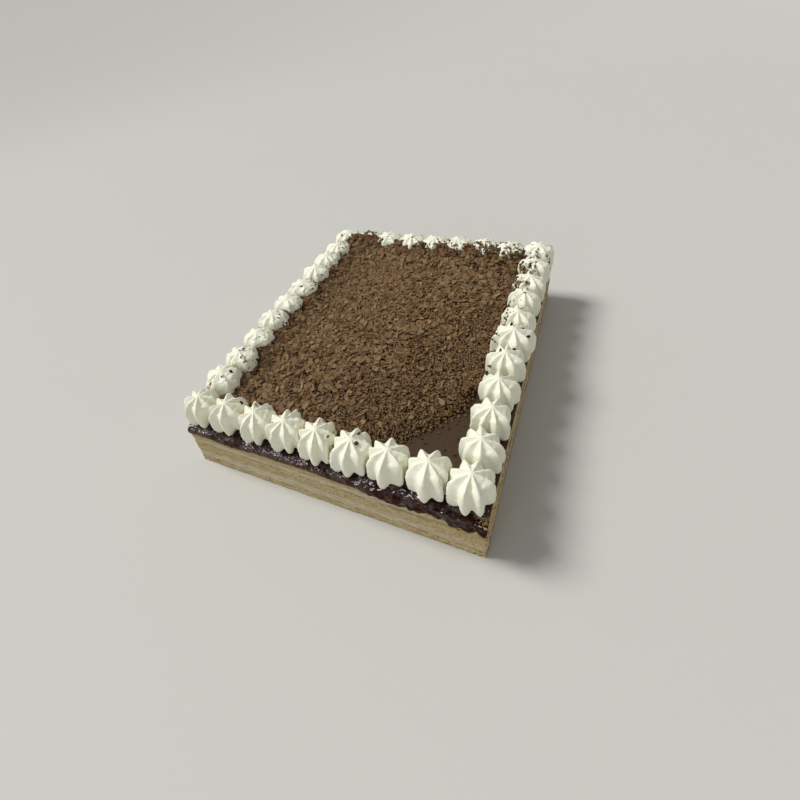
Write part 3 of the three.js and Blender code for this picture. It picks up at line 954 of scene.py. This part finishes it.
def strew(name, count, sides, size, tilt, lift, coarse, seed):
    """Flakes of one kind over the whole heap. Sizes and lift are given in millimetres, and coarse
    says how much more of this kind lies at the back left."""
    draw = np.random.default_rng(seed)
    shapes = []
    for _ in range(12):
        long = draw.uniform(*size) * MM
        wide = long * draw.uniform(0.4, 0.8)
        thick, curl = draw.uniform(0.5, 1.0) * MM, draw.uniform(-0.2, 0.25)
        shapes.append(flake_shape(sides, long, wide, thick, curl, draw))
    x = draw.uniform(field_x[0], field_x[-1], 4 * count)
    y = draw.uniform(field_y[0], field_y[-1], 4 * count)
    chance = chance_of(x, y, cell_of(x, y), coarse, size[1] < SMALL)
    kept = np.flatnonzero(draw.uniform(0, 1, len(x)) < chance)[:count]
    x, y, cell = x[kept], y[kept], cell_of(x[kept], y[kept])
    low = np.maximum(heap[cell] - CORE_DEPTH, TOP - 0.4 * MM)
    loose = np.clip((heap[cell] - TOP) / (3 * MM) + 0.2, 0, 1)
    z = low + draw.uniform(*lift, len(x)) * MM * loose
    # Painted shade cast by the rosettes: flakes within 26 mm of an axis get a lower shade, most next
    # to the left column.
    painted_shadow = np.where(x < centre_x - half_x + 40 * MM, 0.45, 0.3)
    painted_shadow = np.clip((26 * MM - from_axis[cell]) / (9 * MM), 0, 1) * painted_shadow
    shades = draw.normal(0.57, 0.18 if size[1] > SMALL else 0.14, len(x)) - painted_shadow - 0.45 * bare[cell]
    turns = lay(heap_normals[cell], tilt, draw)
    pick = draw.integers(0, len(shapes), len(x))
    return scatter(name, shapes, np.column_stack([x, y, z]), turns, np.clip(shades, 0, 1), pick)


strew("flakes_large", 3400, 6, (6.5, 12.5), 0.25, (3.4, 5.3), 1.6, 5)
strew("flakes_broad", 7600, 6, (4.2, 8.0), 0.42, (1.8, 4.8), 0.9, 1)
strew("flakes_long", 9500, 5, (3.0, 5.2), 0.52, (1.0, 4.6), 0.0, 2)
strew("flakes_short", 10500, 5, (2.2, 3.8), 0.6, (0.8, 4.4), -0.5, 3)
strew("flakes_chips", 12000, 4, (1.3, 2.6), 0.7, (0.6, 4.3), -0.8, 4)

# %% [markdown]
# ## Crumbs on the border
# The flakes were thrown on from the near side, so they also landed on the cream: the rear and
# left rosettes are half covered on their inner sides, the near ones have hardly a speck. For
# each rosette a number says how far up the crumbs reach, and places are drawn on its own mesh.
# They gather in clumps.

# %% Places on a rosette
REACH_UP = {
    "front": (0, 0.02, 0.03, 0.04, 0.03, 0.02, 0, 0, 0),
    "right": (0, 0, 0.01, 0.05, 0.06, 0.22, 0.6, 0.85, 0.95),
    "back": (0.35, 1.4, 0.45, 0.4, 0.7, 0.9, 1.0, 0.95, 0.6),
    "left": (0.03, 0.13, 0.55, 0.62, 0.66, 0.45, 0.6, 0.6, 0.5),
}
ROSETTE_TALL = 33 * MM


def face_data(mesh, key, width):
    """One measure of all the faces of a mesh."""
    values = np.empty(len(mesh.polygons) * width)
    mesh.polygons.foreach_get(key, values)
    return values.reshape(-1, width)


def crumb_places(node, count, draw):
    """Places and slopes on one rosette where crumbs stick, on the side that faces the heap."""
    side, number = node.split("_")[1:]
    reach = REACH_UP[side][int(number) - 1]
    mesh = rosettes[node].data
    centres, slopes = face_data(mesh, "center", 3), face_data(mesh, "normal", 3)
    areas = face_data(mesh, "area", 1)[:, 0]
    x, y = spots[node]
    inwards = np.array([1.0 * (x == spots_x[0]) - (x == spots_x[-1]),
                        1.0 * (y == spots_y[0]) - (y == spots_y[-1])])
    inwards /= np.linalg.norm(inwards)
    facing = (centres[:, :2] - [x, y]) @ inwards / ROSETTE_SPREAD
    rise = (centres[:, 2] - TOP) / ROSETTE_TALL
    cover = np.clip((reach - rise) / 0.25 + 0.4, 0.03, 1) * np.clip(facing + 0.35, 0, 1)
    cover *= (slopes[:, 2] > -0.2) * (centres[:, 2] > TOP + 5 * MM)
    if reach > 1:
        cover = np.clip(facing + 0.8, 0, 1) * (slopes[:, 2] > -0.2)
    weight = cover * areas * np.clip(0.45 + 2.4 * rough(centres, 4.5 * MM, 50), 0.03, 1)
    wanted = int(count * min(reach, 1.4) ** 1.2)
    chosen = draw.choice(len(areas), wanted, p=weight / weight.sum()) if wanted else []
    return centres[chosen], slopes[chosen]


# %% A few single flakes
# Some dark flakes landed alone on the near cream: by rosette, and aside and behind its axis in mm.
SINGLE_FLAKES = (
    ("front_6", 6, -1), ("front_6", 4, 8), ("front_2", 13, 8), ("right_5", 8, 7), ("right_5", 14, 0),
    ("right_5", -3, 9), ("right_4", 6, 8), ("right_4", -6, 4), ("right_3", -12, 6), ("left_1", 9, 6),
)
draw = np.random.default_rng(61)
shapes = [flake_shape(6, 4.2 * MM, 3.2 * MM, 1.5 * MM, 0.2, draw) for _ in range(4)]
landed = []
for node, aside, behind_axis in SINGLE_FLAKES:
    search = search_tree(rosettes["rosette_" + node].data)
    x, y = spots["rosette_" + node]
    landed.append(drop(search, x + aside * MM, y + behind_axis * MM))
places = np.array([spot + 0.2 * MM * slope for spot, slope in landed])
turns = lay(np.array([slope for spot, slope in landed]), 0.4, draw)
pick = np.arange(len(landed)) % len(shapes)
scatter("flakes_single", shapes, places, turns, np.zeros(len(landed)), pick)


# %% Stick the crumbs
def stick(name, sides, size, count, seed):
    """Crumbs of one kind on the whole border."""
    draw = np.random.default_rng(seed)
    shapes = []
    for _ in range(6):
        long = draw.uniform(*size) * MM
        shapes.append(flake_shape(sides, long, long * draw.uniform(0.5, 0.8), 0.4 * MM, 0.1, draw))
    found = [crumb_places(node, count, draw) for node in rosettes]
    places, normals = (np.vstack([pair[k] for pair in found if len(pair[k])]) for k in (0, 1))
    places = places + normals * draw.uniform(0, 0.5, (len(places), 1)) * MM
    shades = np.clip(draw.normal(0.35, 0.25, len(places)), 0, 1)
    turns = lay(normals, 0.35, draw)
    return scatter(name, shapes, places, turns, shades, draw.integers(0, len(shapes), len(places)))


stick("crumbs_on_cream", 4, (0.8, 2.0), 110, 31)
stick("flakes_on_cream", 5, (2.4, 5.5), 420, 32)

# %% [markdown]
# ## Crumbs of sponge
# Where the knife tore the right front corner, pale crumbs lie on the wet edge of the glaze and
# cling to the cut beside it. They are knobbly little lumps, dropped onto the glaze's own mesh.

# %% Drop the sponge crumbs
SPONGE_CRUMBS = 90
draw = np.random.default_rng(77)
glaze_search = search_tree(glaze.data)
shapes, landed = [], []
for _ in range(6):
    long = draw.uniform(0.7, 1.5) * MM
    shapes.append(flake_shape(5, long, long * 0.8, long * 0.6, 0.0, draw))
while len(landed) < SPONGE_CRUMBS:
    x = cake_high.x - abs(draw.normal(0, 4)) * MM - 0.6 * MM
    y = cake_low.y - 1.0 * MM + abs(draw.normal(0, 4)) * MM
    spot, slope = drop(glaze_search, x, y)
    if spot:
        landed.append((spot, slope))
places, slopes = np.array(landed).transpose(1, 0, 2)
turns, shades = lay(slopes, 0.5, draw), np.full(SPONGE_CRUMBS, 0.5)
pick = draw.integers(0, len(shapes), SPONGE_CRUMBS)
scatter("sponge_crumbs", shapes, places, turns, shades, pick, MADE_OF["sponge"])

# %% [markdown]
# ## Floor and light
# A plain pale floor and soft light. The floor lies level round the cake and rises gently far away,
# like the sweep of a studio backdrop, so that no horizon shows from the side. The main light comes
# from the upper left with a wide disc, which gives soft shadows. A long strip lamp over the front
# only adds the sheen on the glaze's lip, and a small lamp low in front makes the glints on the wet
# drips. A pale surround keeps the shadows open.

# %% Floor
FLOOR_HALF, FLOOR_LEVEL, FLOOR_RISE = 30.0, 2.0, 0.4
bm = bmesh.new()
bmesh.ops.create_grid(bm, x_segments=120, y_segments=120, size=FLOOR_HALF)
for v in bm.verts:
    beyond = max(0.0, v.co.xy.length - FLOOR_LEVEL)
    v.co.z = FLOOR_RISE * (math.hypot(beyond, 1.0) - 1.0)
floor_mesh = bpy.data.meshes.new("floor")
bm.to_mesh(floor_mesh)
bm.free()
floor_mesh.shade_smooth()
floor_mesh.materials.append(
    new_material("pale_floor", Roughness=0.85, Base_Color=tone("C9C8C4"))[0]
)
floor = put("floor", floor_mesh)
floor.location.z = cad_box[0].z - SPARE
floor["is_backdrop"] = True
print("floor is", 2 * FLOOR_HALF, "m wide")


# %% Lights
def hang(name, kind, place, aim, power, colour, **settings):
    """Hangs a light at a place and aims it at a point."""
    light = bpy.data.lights.new(name, kind)
    light.energy, light.color = power, tone(colour)[:3]
    for setting, value in settings.items():
        setattr(light, setting, value)
    lamp = put(name, light)
    lamp.location = place
    lamp.rotation_euler = (Vector(aim) - Vector(place)).to_track_quat("-Z", "Y").to_euler()
    return lamp


hang("skylight", "SUN", (-0.62, -0.06, 0.78), (0, 0, 0), 2.64, "FFFEFB", angle=math.radians(20))
strip = hang(
    "strip", "AREA", (-0.58, -0.5, 1.25), (-0.58, -0.2, 0.05), 7.5, "F8F5FF",
    shape="RECTANGLE", size=1.3, size_y=0.16,
)
strip.visible_diffuse = False
hang("glint", "AREA", (-0.1, -1.1, 0.52), (0.08, -0.19, 0.05), 0.4, "FFFFFF", size=0.08)
world = bpy.data.worlds.new("studio")
bpy.context.scene.world = world
world.use_nodes = True
plug(world.node_tree.nodes["Background"], {"Color": tone("F4F5F2"), "Strength": 0.32})

# %% [markdown]
# ## Sizes
# Nothing here may reach past the imported solids, so both boxes are written down for comparison.

# %% Sizes
look_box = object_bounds()
for label, (low, high) in (("solids", cad_box), ("looks", look_box)):
    print(label, [round(v / MM, 2) for v in low], [round(v / MM, 2) for v in high])
